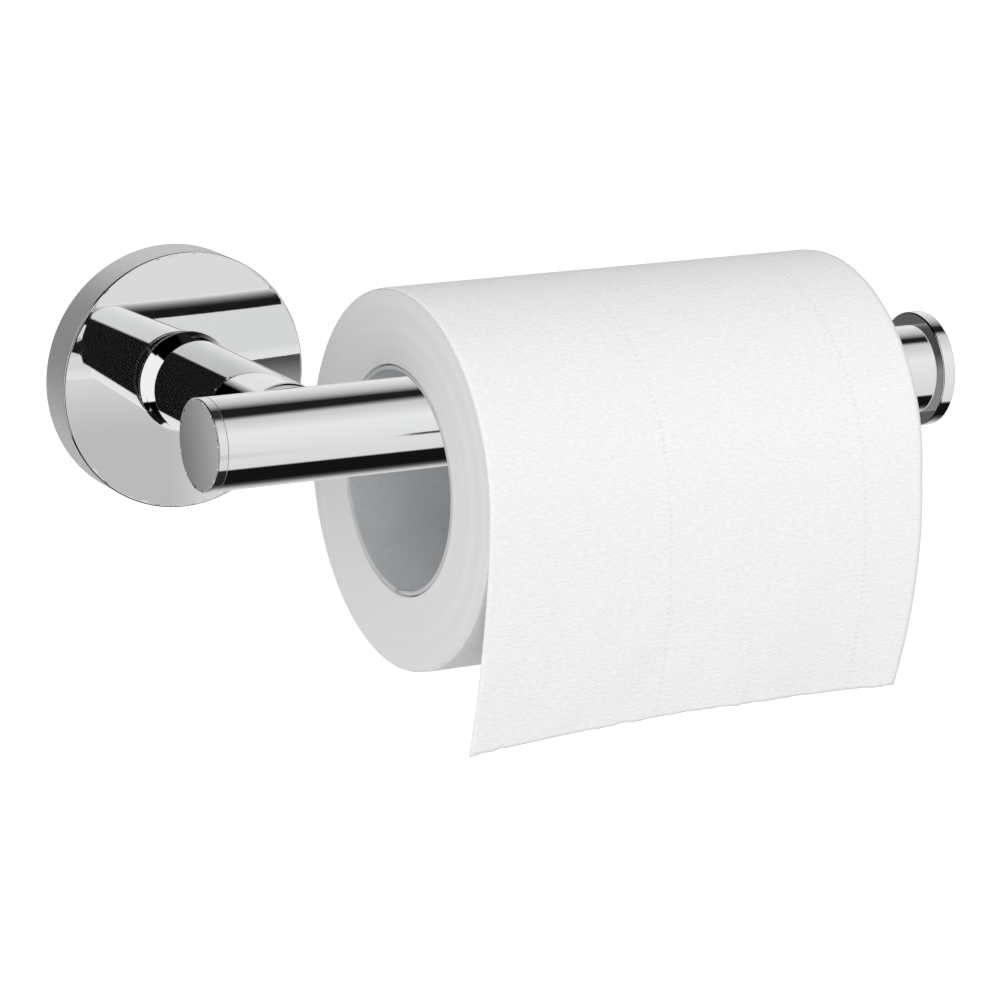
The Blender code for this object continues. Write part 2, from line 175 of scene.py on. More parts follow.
def light_key_panel(tree, x, round_front, rise):
    """The large key panel, front right, brighter at mid height and dimmer low on its left."""
    lit = sums(
        tree,
        "MULTIPLY",
        window(tree, round_front, KEY_ROUND, 1.5, 10),
        window(tree, rise, KEY_RISE, 2, 4),
        add(tree, "MapRange", rise, -50.0, 60.0, 1.06, 1.3),
        add(tree, "MapRange", rise, 30.0, 62.0, 1.0, 0.62),
    )
    patch = sums(tree, "MULTIPLY", window(tree, rise, KEY_DIM_RISE, 3, 2.6), fade(tree, x, *KEY_DIM_X))
    return sums(tree, "MULTIPLY", lit, add(tree, "MapRange", patch, 0.0, 1.0, 1.0, KEY_DIM))


def light_sweep(tree, x, y, z):
    """The white sweep behind, which goes dark towards the top, the bottom and the left."""
    over_back = sums(tree, "DEGREES", sums(tree, "ARCTAN2", z, y))
    share = add(tree, "MapRange", over_back, -90.0, 90.0, 0.0, 1.0)
    stops = [((at + 90) / 180, grey / SWEEP_TOP) for at, grey in SWEEP_LOWER + SWEEP_UPPER]
    sweep = ramp(tree, share, stops)
    slant = sums(tree, "SUBTRACT", x, sums(tree, "MULTIPLY", z, 0.5))
    upper_left = add(tree, "MapRange", slant, -0.42, -0.28, 0.0, 1.0)
    upper_left = sums(tree, "MAXIMUM", upper_left, fade(tree, z, -0.14, -0.21))
    left_fall = add(tree, "MapRange", x, -0.53, -0.225, 0.19, 1.0)
    return sums(tree, "MULTIPLY", sweep, SWEEP_TOP, left_fall, upper_left, fade(tree, x, 0.7, 0.6))


def light_strip(tree, round_front, rise):
    """A narrow upright strip on the left."""
    wide = window(tree, round_front, STRIP_ROUND, 2, 2)
    return sums(tree, "MULTIPLY", wide, window(tree, rise, STRIP_RISE, 1.5, 1.5), STRIP_LEVEL)


def hang_card(tree, x, rise):
    """How much light passes a small black card on the right, low down, mirrored in the cover's edge."""
    card = sums(
        tree,
        "MULTIPLY",
        window(tree, x, CARD_X, 0.003, 0.002),
        window(tree, rise, CARD_RISE, 0.9, 0.5),
        add(tree, "MapRange", rise, -13.8, -12.2, 0.55, 0.9),
    )
    return sums(tree, "SUBTRACT", 1.0, card)


def light_second_mirror(tree, x, y, z, towards_front):
    """What one chrome surface mirrors in another: white, with a dark band overhead and a dark left side."""
    over = sums(tree, "DEGREES", sums(tree, "ARCTAN2", z, towards_front))
    start, full, last, stop = BAND_OVER
    band = sums(tree, "MULTIPLY", fade(tree, over, start, full), fade(tree, over, last, stop))
    white = sums(
        tree,
        "MULTIPLY",
        sums(tree, "SUBTRACT", 1.0, band),
        fade(tree, x, -0.12, -0.07),
        add(tree, "MapRange", y, 0.0, 0.15, 1.02, 0.93),
    )
    glint = sums(
        tree,
        "MULTIPLY",
        window(tree, x, GLINT_X, 0.02, 0.006),
        fade(tree, y, -0.848, -0.834),
        add(tree, "MapRange", z, 0.05, 0.6, 0.29, 0.08),
    )
    return sums(tree, "MAXIMUM", white, glint, DARKEST)


def build_tent():
    """The world: white seen directly, lit panels and black flags in the chrome, soft light on the paper."""
    world = bpy.data.worlds.new("tent")
    world.use_nodes = True
    world.cycles.sampling_method = "NONE"
    bpy.context.scene.world = world
    tree = world.node_tree
    tree.nodes.clear()
    look = add(tree, "TexCoord")
    x, y, z = axes(tree, look)
    towards_front = sums(tree, "MULTIPLY", y, -1.0)
    round_front = sums(tree, "DEGREES", sums(tree, "ARCTAN2", x, towards_front))
    rise = sums(tree, "DEGREES", sums(tree, "ARCSINE", z))

    panel = light_key_panel(tree, x, round_front, rise)
    strip = light_strip(tree, round_front, rise)
    sweep = light_sweep(tree, x, y, z)
    mirrored = sums(tree, "MAXIMUM", panel, strip, sweep)
    mirrored = sums(tree, "MULTIPLY", mirrored, MIRROR_LEVEL, hang_card(tree, x, rise))
    second = light_second_mirror(tree, x, y, z, towards_front)

    # Soft light for the paper: most from the front left, least from below
    slope = add(tree, "VectorMath", look, SOFT_SLOPE, out=1, operation="DOT_PRODUCT")
    soft = sums(tree, "ADD", slope, SOFT_LEVEL)

    path = tree.nodes.new("ShaderNodeLightPath")
    twice = sums(tree, "GREATER_THAN", path.outputs["Ray Depth"], SECOND_MIRROR)
    mirrored = add(tree, "Mix", twice, None, mirrored, second)
    seen = add(tree, "Mix", path.outputs["Is Glossy Ray"], None, soft, mirrored)
    seen = add(tree, "Mix", path.outputs["Is Camera Ray"], None, seen, 1.0)
    shade = add(tree, "Background", (1, 1, 1, 1), seen)
    add(tree, "OutputWorld", shade)


build_tent()


def panel_light(name, at, towards, width, watts):
    """A square soft light that the chrome doesn't mirror."""
    data = bpy.data.lights.new(name, "AREA")
    data.size = width
    data.energy = watts
    light = bpy.data.objects.new(name, data)
    light.location = at
    light.rotation_euler = (Vector(towards) - Vector(at)).to_track_quat("-Z", "Y").to_euler()
    light.visible_glossy = False
    bpy.context.scene.collection.objects.link(light)


panel_light("key_light", (0.35, -0.75, 0.42), (0.05, -0.06, 0.0), 0.4, 0.9)

FLOOR_HALF = 6
FLOOR_DOWN = 0.30


def lay_floor():
    """A broad white floor with the faintest mottle."""
    built = bmesh.new()
    bmesh.ops.create_grid(built, x_segments=8, y_segments=8, size=FLOOR_HALF)
    mesh = bpy.data.meshes.new("floor")
    built.to_mesh(mesh)
    built.free()
    floor = bpy.data.objects.new("floor", mesh)
    floor.location = (0, 0, -FLOOR_DOWN)
    floor.visible_glossy = False
    floor.visible_diffuse = False
    bpy.context.scene.collection.objects.link(floor)
    vinyl, tree, shader = start_finish("floor_vinyl")
    where = add(tree, "TexCoord", out=3)
    mottle = add(tree, "TexNoise", where, None, 3.0, 2.0)
    tint = add(tree, "MapRange", mottle, 0.3, 0.7, 0.97, 0.99)
    tree.links.new(tint, shader.inputs["Base Color"])
    shader.inputs["Roughness"].default_value = 0.9
    shader.inputs["Emission Color"].default_value = (1, 1, 1, 1)
    shader.inputs["Emission Strength"].default_value = 0.5
    mesh.materials.append(vinyl)


lay_floor()

# ---------------------------------------------------------------------------------------------------
# The wall plugs: moulded grey nylon, ribbed to hold in the wall, with a thin collar at the mouth and
# slit from the far end so that the screw spreads them. The moulding leaves a faint cloudy skin.

NYLON_DARK = (0.30, 0.31, 0.33)
NYLON_LIGHT = (0.44, 0.45, 0.47)


def nylon_skin():
    """Grey nylon, translucent at its edges, with flow marks and a soft mottle."""
    nylon, tree, shader = start_finish("grey_nylon")
    where = add(tree, "TexCoord", out=3)
    cloud = add(tree, "TexNoise", where, None, 220.0, 4.0)
    tint = ramp(tree, cloud, [(0.0, NYLON_DARK), (1.0, NYLON_LIGHT)])
    tree.links.new(tint, shader.inputs["Base Color"])
    flow = add(tree, "TexNoise", where, None, 1400.0, 3.0)
    rough = add(tree, "MapRange", flow, 0.3, 0.7, 0.38, 0.6)
    tree.links.new(rough, shader.inputs["Roughness"])
    tree.links.new(relief(tree, flow, 0.2, 0.00005), shader.inputs["Normal"])
    shader.inputs["Subsurface Weight"].default_value = 0.08
    shader.inputs["Subsurface Radius"].default_value = (0.0008, 0.0008, 0.0008)
    return nylon


def dress(finish, *nodes):
    """Gives plain solids that stay as they are a better finish."""
    for node in nodes:
        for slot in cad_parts[node].material_slots:
            slot.material = finish


dress(nylon_skin(), "wall_plug_upper", "wall_plug_lower")

# ---------------------------------------------------------------------------------------------------
# The wall bracket: a dished plate cast in zinc, grey and slightly grainy, with two slots to level it by
# and a groove turned round its rim, where the grub screw bites. It sits flat on the wall.


def metal(name, dark, light, rough_low, rough_high, grain):
    """Bare or plated metal, with blotches, fine grain and small dull marks. grain is marks to the metre."""
    made, tree, shader = start_finish(name)
    where = add(tree, "TexCoord", out=3)
    cloud = add(tree, "TexNoise", where, None, grain / 8, 4.0)
    fine = add(tree, "TexNoise", where, None, grain, 3.0)
    tone = sums(tree, "ADD", sums(tree, "MULTIPLY", cloud, 0.7), sums(tree, "MULTIPLY", fine, 0.3))
    tree.links.new(ramp(tree, tone, [(0.3, dark), (0.7, light)]), shader.inputs["Base Color"])
    rough = add(tree, "MapRange", fine, 0.3, 0.7, rough_low, rough_high)
    tree.links.new(rough, shader.inputs["Roughness"])
    tree.links.new(relief(tree, tone, 0.15, 0.00005), shader.inputs["Normal"])
    shader.inputs["Metallic"].default_value = 1.0
    return made


zinc = metal("cast_zinc", (0.36, 0.37, 0.38), (0.50, 0.51, 0.52), 0.38, 0.6, 1800.0)
dress(zinc, "wall_bracket")

# ---------------------------------------------------------------------------------------------------
# The wall screws: zinc-plated steel, rolled with a coarse thread and a pan head with a cross recess. Each
# holds the bracket through a flat washer and cuts its thread in a plug.

steel = metal("plated_steel", (0.46, 0.47, 0.48), (0.66, 0.67, 0.68), 0.2, 0.36, 2600.0)

SCREW_UP = 0.0120
SCREW_RADIUS = 0.00175
SCREW_THREAD = 0.00035
SCREW_PITCH = 0.0014
SCREW_SEAT = 0.0034  # the underside of the head, from the wall
SCREW_SHANK = 0.0006  # plain length under the head
SCREW_HEAD = 0.0022
SCREW_HEAD_RADIUS = 0.0034
SCREW_HEAD_ROUND = 0.0009
SCREW_HEAD_STEPS = 8
SCREW_TIP = 0.0265
SCREW_POINT = 0.0040
THREAD_STEPS = 14  # rings in each turn of the thread
SCREW_SEGMENTS = 40
RIDGE_STEEP = 3.2
SHARP = math.radians(50)  # edges sharper than this stay crisp
RECESS_NARROW = 0.00042
RECESS_WIDE = 0.00175
RECESS_DEEP = 0.0014
RECESS_OVER = 0.0002  # how far the cutter stands over the head
RECESS_TAPER = 0.55


def finish_piece(name, built, direction, at):
    """Turns a built mesh into a smooth object whose Z axis points along direction."""
    bmesh.ops.recalc_face_normals(built, faces=built.faces)
    mesh = bpy.data.meshes.new(name)
    built.to_mesh(mesh)
    built.free()
    mesh.shade_smooth()
    piece = bpy.data.objects.new(name, mesh)
    turn = Vector((0, 0, 1)).rotation_difference(Vector(direction)).to_matrix().to_4x4()
    piece.matrix_world = Matrix.Translation(at) @ turn
    bpy.context.scene.collection.objects.link(piece)
    return piece


def fit(piece, finish, body, slot, *nodes):
    """Gives a piece its finish and its body, and lets it stand for the plain solids."""
    piece.data.materials.append(finish)
    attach(piece, body)
    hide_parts(*nodes)


def cross_recess(z):
    """The driver's cross, tapered, sunk in a screw's head."""
    built = bmesh.new()
    top = SCREW_SEAT + SCREW_HEAD + RECESS_OVER
    for across, along in ((RECESS_NARROW, RECESS_WIDE), (RECESS_WIDE, RECESS_NARROW)):
        verts = []
        for out, shrink in ((top, 1.0), (top - RECESS_DEEP, RECESS_TAPER)):
            for sx, sz in ((-1, -1), (1, -1), (1, 1), (-1, 1)):
                verts.append(built.verts.new((sx * across * shrink, -out, z + sz * along * shrink)))
        built.faces.new(verts[:4])
        built.faces.new(verts[4:][::-1])
        for i in range(4):
            j = (i + 1) % 4
            built.faces.new((verts[i], verts[4 + i], verts[4 + j], verts[j]))
    return finish_piece("recess", built, (0, 0, 1), (0, 0, 0))


def join_rings(built, rings):
    """Faces between each ring of points and the next, where a ring of one point closes an end."""
    for near, far in rings:
        count = max(len(near), len(far))
        for i in range(count):
            j = (i + 1) % count
            corners = [near[i % len(near)], near[j % len(near)], far[j % len(far)], far[i % len(far)]]
            corners = list(dict.fromkeys(corners))
            if len(corners) > 2:
                built.faces.new(corners)


def screw_head():
    """The head's outline, as radius and distance from the wall, from its crown to the shank."""
    top = SCREW_SEAT + SCREW_HEAD
    head = [(0.0, top)]
    for i in range(1, SCREW_HEAD_STEPS + 1):
        angle = math.pi / 2 * i / SCREW_HEAD_STEPS
        radius = SCREW_HEAD_RADIUS - SCREW_HEAD_ROUND * (1 - math.sin(angle))
        head.append((radius, top - SCREW_HEAD_ROUND * (1 - math.cos(angle))))
    head += [(SCREW_HEAD_RADIUS, SCREW_SEAT + 0.0001), (SCREW_HEAD_RADIUS - 0.0001, SCREW_SEAT)]
    head.append((SCREW_RADIUS - SCREW_THREAD / 2, SCREW_SEAT))
    return head


def thread_radius(angle, gone, left):
    """The screw's radius at an angle, where so much of the thread is gone and so much is left."""
    body = min(1.0, left / SCREW_POINT)
    grow = min(1.0, gone / SCREW_PITCH) * min(1.0, 0.25 + body)
    phase = (gone / SCREW_PITCH - angle / (2 * math.pi)) % 1.0
    ridge = max(0.0, 1 - abs(phase - 0.5) * RIDGE_STEEP)
    return (SCREW_RADIUS - SCREW_THREAD) * body + SCREW_THREAD * ridge * grow


def turn_screw(name, z, node):
    """One wall screw: its rounded head, a short plain shank, and a thread that winds down to the point."""
    threaded = SCREW_SEAT + SCREW_TIP - SCREW_SHANK
    steps = int(threaded / SCREW_PITCH * THREAD_STEPS)
    built = bmesh.new()
    turns = [2 * math.pi * i / SCREW_SEGMENTS for i in range(SCREW_SEGMENTS)]
    head = screw_head()
    rings = [[built.verts.new((0, -head[0][1], z))]]
    for radius, out in head[1:]:
        rings.append([built.verts.new((radius * math.cos(a), -out, z + radius * math.sin(a))) for a in turns])
    for k in range(steps):
        gone = threaded * k / steps
        out = SCREW_SEAT - SCREW_SHANK - gone
        ring = []
        for a in turns:
            radius = thread_radius(a, gone, threaded - gone)
            ring.append(built.verts.new((radius * math.cos(a), -out, z + radius * math.sin(a))))
        rings.append(ring)
    rings.append([built.verts.new((0, SCREW_TIP, z))])
    join_rings(built, zip(rings, rings[1:]))
    screw = finish_piece(name, built, (0, 0, 1), (0, 0, 0))
    screw.data.set_sharp_from_angle(angle=SHARP)
    cutter = cross_recess(z)
    sink = screw.modifiers.new("recess", "BOOLEAN")
    sink.object = cutter
    sink.operation = "DIFFERENCE"
    sink.solver = "EXACT"
    sink.use_self = True
    shape = bpy.data.meshes.new_from_object(screw.evaluated_get(bpy.context.evaluated_depsgraph_get()))
    screw.modifiers.clear()
    screw.data = shape
    bpy.data.objects.remove(cutter)
    screw.data.materials.clear()
    fit(screw, steel, "holder", "steel", node)


turn_screw("screw_upper", SCREW_UP, "wall_screw_upper")
turn_screw("screw_lower", -SCREW_UP, "wall_screw_lower")
dress(steel, "wall_washer_upper", "wall_washer_lower")

# ---------------------------------------------------------------------------------------------------
# The fixings inside: a socket-head bolt with a flat washer and a spring washer, the brass slug in the bar
# that it screws into, and the small grub screw that locks the cover to the bracket from below.

brass = metal("turned_brass", (0.55, 0.40, 0.17), (0.72, 0.55, 0.27), 0.18, 0.34, 2400.0)
blacked_steel = metal("blacked_steel", (0.10, 0.10, 0.11), (0.20, 0.20, 0.21), 0.3, 0.5, 2600.0)
dress(steel, "tie_bolt", "tie_bolt_washer", "spring_washer")
dress(brass, "bar_insert")
dress(blacked_steel, "grub_screw")

# ---------------------------------------------------------------------------------------------------
# The cover: a shallow round cup cast in zinc, polished, then plated with nickel and a thin bright layer
# of chromium. Its face mirrors the studio, and its rim is a little duller. It slips over the bracket,
# and the tie bolt and the grub screw hold it.

SKIN_SEGMENTS = 256
EDGE_STEPS = 5
FLAT_MARGIN = 0.00004


def chrome(name, tone, haze, clear, least=0.012, marks=0.004):
    """Bright chromium plate: tone is how much light it gives back, haze its faint uneven gloss.

    clear is 1 for a perfect mirror, and a little less where handling has left a faint bloom."""
    plate, tree, shader = start_finish(name)
    where = add(tree, "TexCoord", out=3)
    cloud = add(tree, "TexNoise", where, None, 60.0, 3.0)
    cool = (tone * 0.985, tone * 0.995, tone, 1)
    plain = (tone, tone * 1.003, tone * 1.005, 1)
    colour = add(tree, "Mix", cloud, *[None] * 5, cool, plain, data_type="RGBA", out=2)
    tree.links.new(colour, shader.inputs["Base Color"])
    fine = add(tree, "TexNoise", where, None, 900.0, 2.0)
    rough = add(tree, "MapRange", fine, 0.3, 0.75, least, haze)
    tree.links.new(rough, shader.inputs["Roughness"])
    scratch = add(tree, "TexNoise", where, None, 400.0, 2.0)
    tree.links.new(relief(tree, scratch, marks, 0.0002), shader.inputs["Normal"])
    shader.inputs["Metallic"].default_value = clear
    return plate


def rounded(corners, radii):
    """An outline with each corner rounded to its radius, and close points at the ends of each flat run."""
    outline = []
    count = len(corners)
    for i, radius in enumerate(radii):
        before, here, after = (Vector(corners[(i + k) % count]) for k in (-1, 0, 1))
        if not radius:
            outline.append(here)
            continue
        arrive = (here - before).normalized()
        leave = (after - here).normalized()
        start = here - arrive * radius
        middle = start + leave * radius
        outline.append(start - arrive * FLAT_MARGIN)
        for k in range(EDGE_STEPS + 1):
            angle = math.pi / 2 * k / EDGE_STEPS
            outline.append(middle - leave * radius * math.cos(angle) + arrive * radius * math.sin(angle))
        outline.append(here + leave * (radius + FLAT_MARGIN))
    return [tuple(point) for point in outline]


def lathe(name, outline, direction, at, segments=SKIN_SEGMENTS):
    """A solid turned from a closed outline of (radius, height) points about a line through a place."""
    built = bmesh.new()
    rings = []
    for radius, height in outline:
        if radius < 1e-7:
            rings.append([built.verts.new((0, 0, height))])
            continue
        turns = (2 * math.pi * i / segments for i in range(segments))
        rings.append([built.verts.new((radius * math.cos(a), radius * math.sin(a), height)) for a in turns])
    join_rings(built, zip(rings, rings[1:] + rings[:1]))
    return finish_piece(name, built, direction, at)


face_chrome = chrome("chrome_cover", 0.82, 0.03, 0.993)
rim_chrome = chrome("chrome_rim", 0.62, 0.38, 0.6, 0.28, 0.05)

COVER_RADIUS = 0.0275
COVER_DEPTH = 0.0096
COVER_FACE = 0.0020
COVER_RIM = 0.0015
COVER_BORE = 0.0028
COVER_EDGE = 0.0004
COVER_CROWN = 0.51  # radius of the face's slight dome
COVER_SEAT = 0.0108  # flat patch under the arm's collar
COVER_DOME_STEPS = 40
RIM_BAND = 0.00005


def crown(radius):
    """How far the cover's slightly domed face stands from the wall at this radius."""
    edge = COVER_RADIUS - COVER_EDGE
    radius = max(radius, COVER_SEAT)
    return COVER_DEPTH + (edge**2 - radius**2) / (2 * COVER_CROWN)


def turn_cover():
    """The round cover: a mirror face with a slight dome, a straight rim and a hollow back."""
    inner = COVER_RADIUS - COVER_RIM
    inside = COVER_DEPTH - COVER_FACE
    corners = [
        (COVER_BORE, inside),
        (inner, inside),
        (inner, 0),
        (COVER_RADIUS, 0),
        (COVER_RADIUS, COVER_DEPTH),
        (COVER_BORE, COVER_DEPTH),
    ]
    radii = [0.0001, 0.0004, 0.0002, 0.0002, COVER_EDGE, 0]
    outline = rounded(corners, radii)[:-2]
    edge = COVER_RADIUS - COVER_EDGE
    for i in range(COVER_DOME_STEPS + 1):
        radius = edge + (COVER_SEAT - edge) * i / COVER_DOME_STEPS
        outline.append((radius, crown(radius)))
    outline.append((COVER_BORE, crown(0)))
    cover = lathe("cover", outline, (0, -1, 0), (0, 0, 0))
    fit(cover, face_chrome, "holder", "chrome", "flange")
    cover.data.materials.append(rim_chrome)
    for face in cover.data.polygons:
        out = math.hypot(face.center.x, face.center.y)
        if out > COVER_RADIUS - RIM_BAND:
            face.material_index = 1


turn_cover()

# ---------------------------------------------------------------------------------------------------
# The arm: a brass turning with a thin collar that sits on the cover, a slim neck, and a head cut to the
# bar's curve. It is bored through for the tie bolt that clamps it, and polished and chromed.

bar_chrome = chrome("chrome_bar", 0.88, 0.03, 1.0)

BAR_OUT = 0.0626
BAR_RADIUS = 0.0095
SEAM = 0.0002  # between pieces that are clamped or pressed together
ARM_RADIUS = 0.0098
ARM_BACK = 0.0155  # where the full width of the arm starts, from the wall
ARM_BACK_EDGE = 0.0004
ARM_HEAD_EDGE = 0.00015
ARM_EDGE_STEPS = 5
COLLAR_RADIUS = 0.01067
COLLAR_SLOPE = math.radians(37)
COLLAR_LIP = 0.0001
COLLAR_LINE = 0.00985  # radius of a fine turned line in the collar
COLLAR_LINE_WIDTH = 0.0003
COLLAR_LINE_HEIGHT = 0.00003
NECK_RADIUS = 0.0079
NECK_TOE = 0.0005  # how the collar's dish runs into the neck
ARM_TIPS = 0.0046  # where the saddle's points are cut off, short of the bar's middle


def saddle(z):
    """How far from the wall the arm reaches at height z, where it is cut to sit against the bar."""
    cutter = BAR_RADIUS + SEAM
    return BAR_OUT - max(ARM_TIPS, math.sqrt(max(0.0, cutter**2 - z**2)))


def arm_foot():
    """The arm's outline from its collar to its full width, as radius and distance from the wall."""
    start = crown(0) + SEAM
    lip = start + COLLAR_LIP
    foot = [(COVER_BORE, start), (COLLAR_RADIUS, start), (COLLAR_RADIUS, lip)]
    stops = [(COLLAR_RADIUS - FLAT_MARGIN, 0)]
    for k in range(3, -4, -1):
        proud = COLLAR_LINE_HEIGHT * math.cos(math.pi * k / 6)
        stops.append((COLLAR_LINE + COLLAR_LINE_WIDTH * k / 6, proud))
    stops += [(NECK_RADIUS + 0.0006, 0), (NECK_RADIUS + 0.0002, 0)]
    for radius, proud in stops:
        foot.append((radius, lip + (COLLAR_RADIUS - radius) / math.tan(COLLAR_SLOPE) + proud))
    foot.append((NECK_RADIUS, foot[-1][1] + NECK_TOE))
    foot += [(NECK_RADIUS, ARM_BACK - 0.00005), (NECK_RADIUS + 0.00005, ARM_BACK)]
    foot.append((ARM_RADIUS - ARM_BACK_EDGE, ARM_BACK))
    for i in range(1, ARM_EDGE_STEPS + 1):
        angle = math.pi / 2 * i / ARM_EDGE_STEPS
        bend = ARM_RADIUS - ARM_BACK_EDGE * (1 - math.sin(angle))
        foot.append((bend, ARM_BACK + ARM_BACK_EDGE * (1 - math.cos(angle))))
    foot.append((ARM_RADIUS, ARM_BACK + ARM_BACK_EDGE + FLAT_MARGIN))
    return foot


def arm_head():
    """The edge of the arm's head, as radius and distance back from the saddle."""
    edge = ARM_HEAD_EDGE
    head = [(ARM_RADIUS, edge + FLAT_MARGIN), (ARM_RADIUS, edge)]
    head += [(ARM_RADIUS - 0.3 * edge, 0.3 * edge), (ARM_RADIUS - edge, 0)]
    return head + [(ARM_RADIUS - edge - FLAT_MARGIN, 0), (COVER_BORE, 0)]


def turn_arm():
    """The arm between cover and bar: a dished collar on the cover, a neck, and a saddle at its head."""
    built = bmesh.new()
    turns = [2 * math.pi * i / SKIN_SEGMENTS for i in range(SKIN_SEGMENTS)]
    rings = []
    for radius, out in arm_foot():
        rings.append([built.verts.new((radius * math.cos(a), -out, radius * math.sin(a))) for a in turns])
    for radius, back in arm_head():
        ring = []
        for a in turns:
            z = radius * math.sin(a)
            ring.append(built.verts.new((radius * math.cos(a), -(saddle(z) - back), z)))
        rings.append(ring)
    join_rings(built, zip(rings, rings[1:] + rings[:1]))
    arm = finish_piece("arm", built, (0, 0, 1), (0, 0, 0))
    arm.data.set_sharp_from_angle(angle=SHARP)
    fit(arm, bar_chrome, "holder", "chrome", "post")


turn_arm()

# ---------------------------------------------------------------------------------------------------
# The bar: a brass tube drawn, cut, polished and chromed. It lies in the arm's saddle, and the tie bolt
# pulls it there by the brass slug inside it. The cap and the disc close its ends.

BAR_BORE = 0.0083
BAR_START = -0.0189
BAR_END = 0.1477
HAIRLINE = 0.00007  # seen between the tube and the ends pressed into it


def turn_bar():
    """The bar: a drawn tube, with a clean edge at each end for the cap and the disc."""
    start = BAR_START - SEAM + HAIRLINE
    end = BAR_END + SEAM - HAIRLINE
    corners = [(BAR_BORE, start), (BAR_RADIUS, start), (BAR_RADIUS, end), (BAR_BORE, end)]
    bar = lathe("bar", rounded(corners, [0.0001, 0.00006, 0.00006, 0.0001]), (1, 0, 0), (0, -BAR_OUT, 0))
    fit(bar, bar_chrome, "holder", "chrome", "bar_tube")


turn_bar()

# ---------------------------------------------------------------------------------------------------
# The bar's two ends: turned brass plugs, chromed, and pressed into the tube. The left one is a flush cap
# and shows only a hairline seam. The right one is a larger disc, which keeps the roll on.

PLUG_RADIUS = 0.0080
CAP_HEAD = 0.0020
CAP_SHANK = 0.0100
DISC_RADIUS = 0.0124
DISC_HEAD = 0.0030
DISC_SHANK = 0.0120
DOME_STEPS = 16

cap_chrome = chrome("chrome_cap", 0.84, 0.05, 0.98)


def turn_end(name, finish, node, direction, tube_end, head, head_radius, front_edge, back_edge, dome, shank):
    """A turned plug pressed into one end of the bar, with a head that is slightly domed or dished."""
    top = SEAM + head
    corners = [(0, top), (head_radius, top), (head_radius, SEAM), (PLUG_RADIUS, SEAM)]
    corners += [(PLUG_RADIUS, -shank), (0, -shank)]
    outline = rounded(corners, [0, front_edge, back_edge, 0.0001, 0.0004, 0])[1:]
    flat = head_radius - front_edge
    face = []
    for i in range(DOME_STEPS + 1):
        share = i / DOME_STEPS
        face.append((flat * share, top + dome * (1 - share**2)))
    end = lathe(name, face + outline[1:], direction, (tube_end, -BAR_OUT, 0))
    end.visible_glossy = False
    fit(end, finish, "holder", "chrome", node)


turn_end(
    "cap",
    cap_chrome,
    "end_cap",
    direction=(-1, 0, 0),
    tube_end=BAR_START,
    head=CAP_HEAD,
    head_radius=BAR_RADIUS,
    front_edge=0.00022,
    back_edge=0.00006,
    dome=-0.0002,
    shank=CAP_SHANK,
)
turn_end(
    "disc",
    bar_chrome,
    "end_disc",
    direction=(1, 0, 0),
    tube_end=BAR_END,
    head=DISC_HEAD,
    head_radius=DISC_RADIUS,
    front_edge=0.0003,
    back_edge=0.0003,
    dome=0.0001,
    shank=DISC_SHANK,
)

# ---------------------------------------------------------------------------------------------------
# The core: a tube of grey board, wound on a slant from two strips glued one over the other, so that a
# fine seam runs round it like a screw thread. It hangs on the bar and is as wide as the roll.

ROLL_START = 0.0245
ROLL_WIDE = 0.1015
ROLL_OUT = 0.0599
ROLL_DOWN = 0.0126142
ROLL_CENTRE = (ROLL_START, -ROLL_OUT, -ROLL_DOWN)
CORE_BORE = 0.0227
CORE_WALL = 0.0009
CORE_END = 0.0001  # how far the core's ends lie inside the paper's
CORE_EDGE = 0.0003
CORE_SEAM_PITCH = 0.066
ROLL_SEGMENTS = 192
BOARD_DARK = (0.55, 0.565, 0.58)
BOARD_LIGHT = (0.70, 0.715, 0.73)
BOARD_SEAM = (0.36, 0.36, 0.37)


def core_board():
    """Grey recycled board: flecked, with darker fibres and the slanted seam between strips."""
    board, tree, shader = start_finish("core_board")
    where = add(tree, "TexCoord", out=3)
    x, y, z = axes(tree, where)
    turn = sums(tree, "DIVIDE", sums(tree, "ARCTAN2", y, x), 2 * math.pi)
    wound = sums(tree, "FRACT", sums(tree, "ADD", turn, sums(tree, "DIVIDE", z, CORE_SEAM_PITCH)))
    seam = ramp(tree, wound, [(0.0, 0.0), (0.006, 1.0), (0.985, 1.0), (1.0, 0.0)])
    fleck = add(tree, "TexNoise", where, None, 1400.0, 4.0, 0.7)
    cloud = add(tree, "TexNoise", where, None, 90.0, 3.0)
    tone = sums(tree, "ADD", sums(tree, "MULTIPLY", fleck, 0.6), sums(tree, "MULTIPLY", cloud, 0.4))
    shade = ramp(tree, tone, [(0.3, BOARD_DARK), (0.7, BOARD_LIGHT)])
    tint = add(tree, "Mix", seam, *[None] * 5, (*BOARD_SEAM, 1), shade, data_type="RGBA", out=2)
    tree.links.new(tint, shader.inputs["Base Color"])
    height = sums(tree, "ADD", sums(tree, "MULTIPLY", fleck, 0.5), seam)
    tree.links.new(relief(tree, height, 0.35, 0.0001), shader.inputs["Normal"])
    rough = add(tree, "MapRange", fleck, 0.3, 0.7, 0.75, 0.95)
    tree.links.new(rough, shader.inputs["Roughness"])
    return board


def wind_core():
    """The board tube, with its four edges a little rounded."""
    outer = CORE_BORE + CORE_WALL
    left, right = CORE_END, ROLL_WIDE - CORE_END
    corners = [(CORE_BORE, left), (outer, left), (outer, right), (CORE_BORE, right)]
    core = lathe("core", rounded(corners, [CORE_EDGE] * 4), (1, 0, 0), ROLL_CENTRE, ROLL_SEGMENTS)
    core.visible_glossy = False
    fit(core, core_board(), "roll", "cardboard", "cardboard_core")


wind_core()

# ---------------------------------------------------------------------------------------------------
# The wound paper: some two hundred turns of soft white tissue. Its cut ends show the turns as fine
# rings, a little uneven, with the corner pressed round. The outermost turn is the loose end, below.

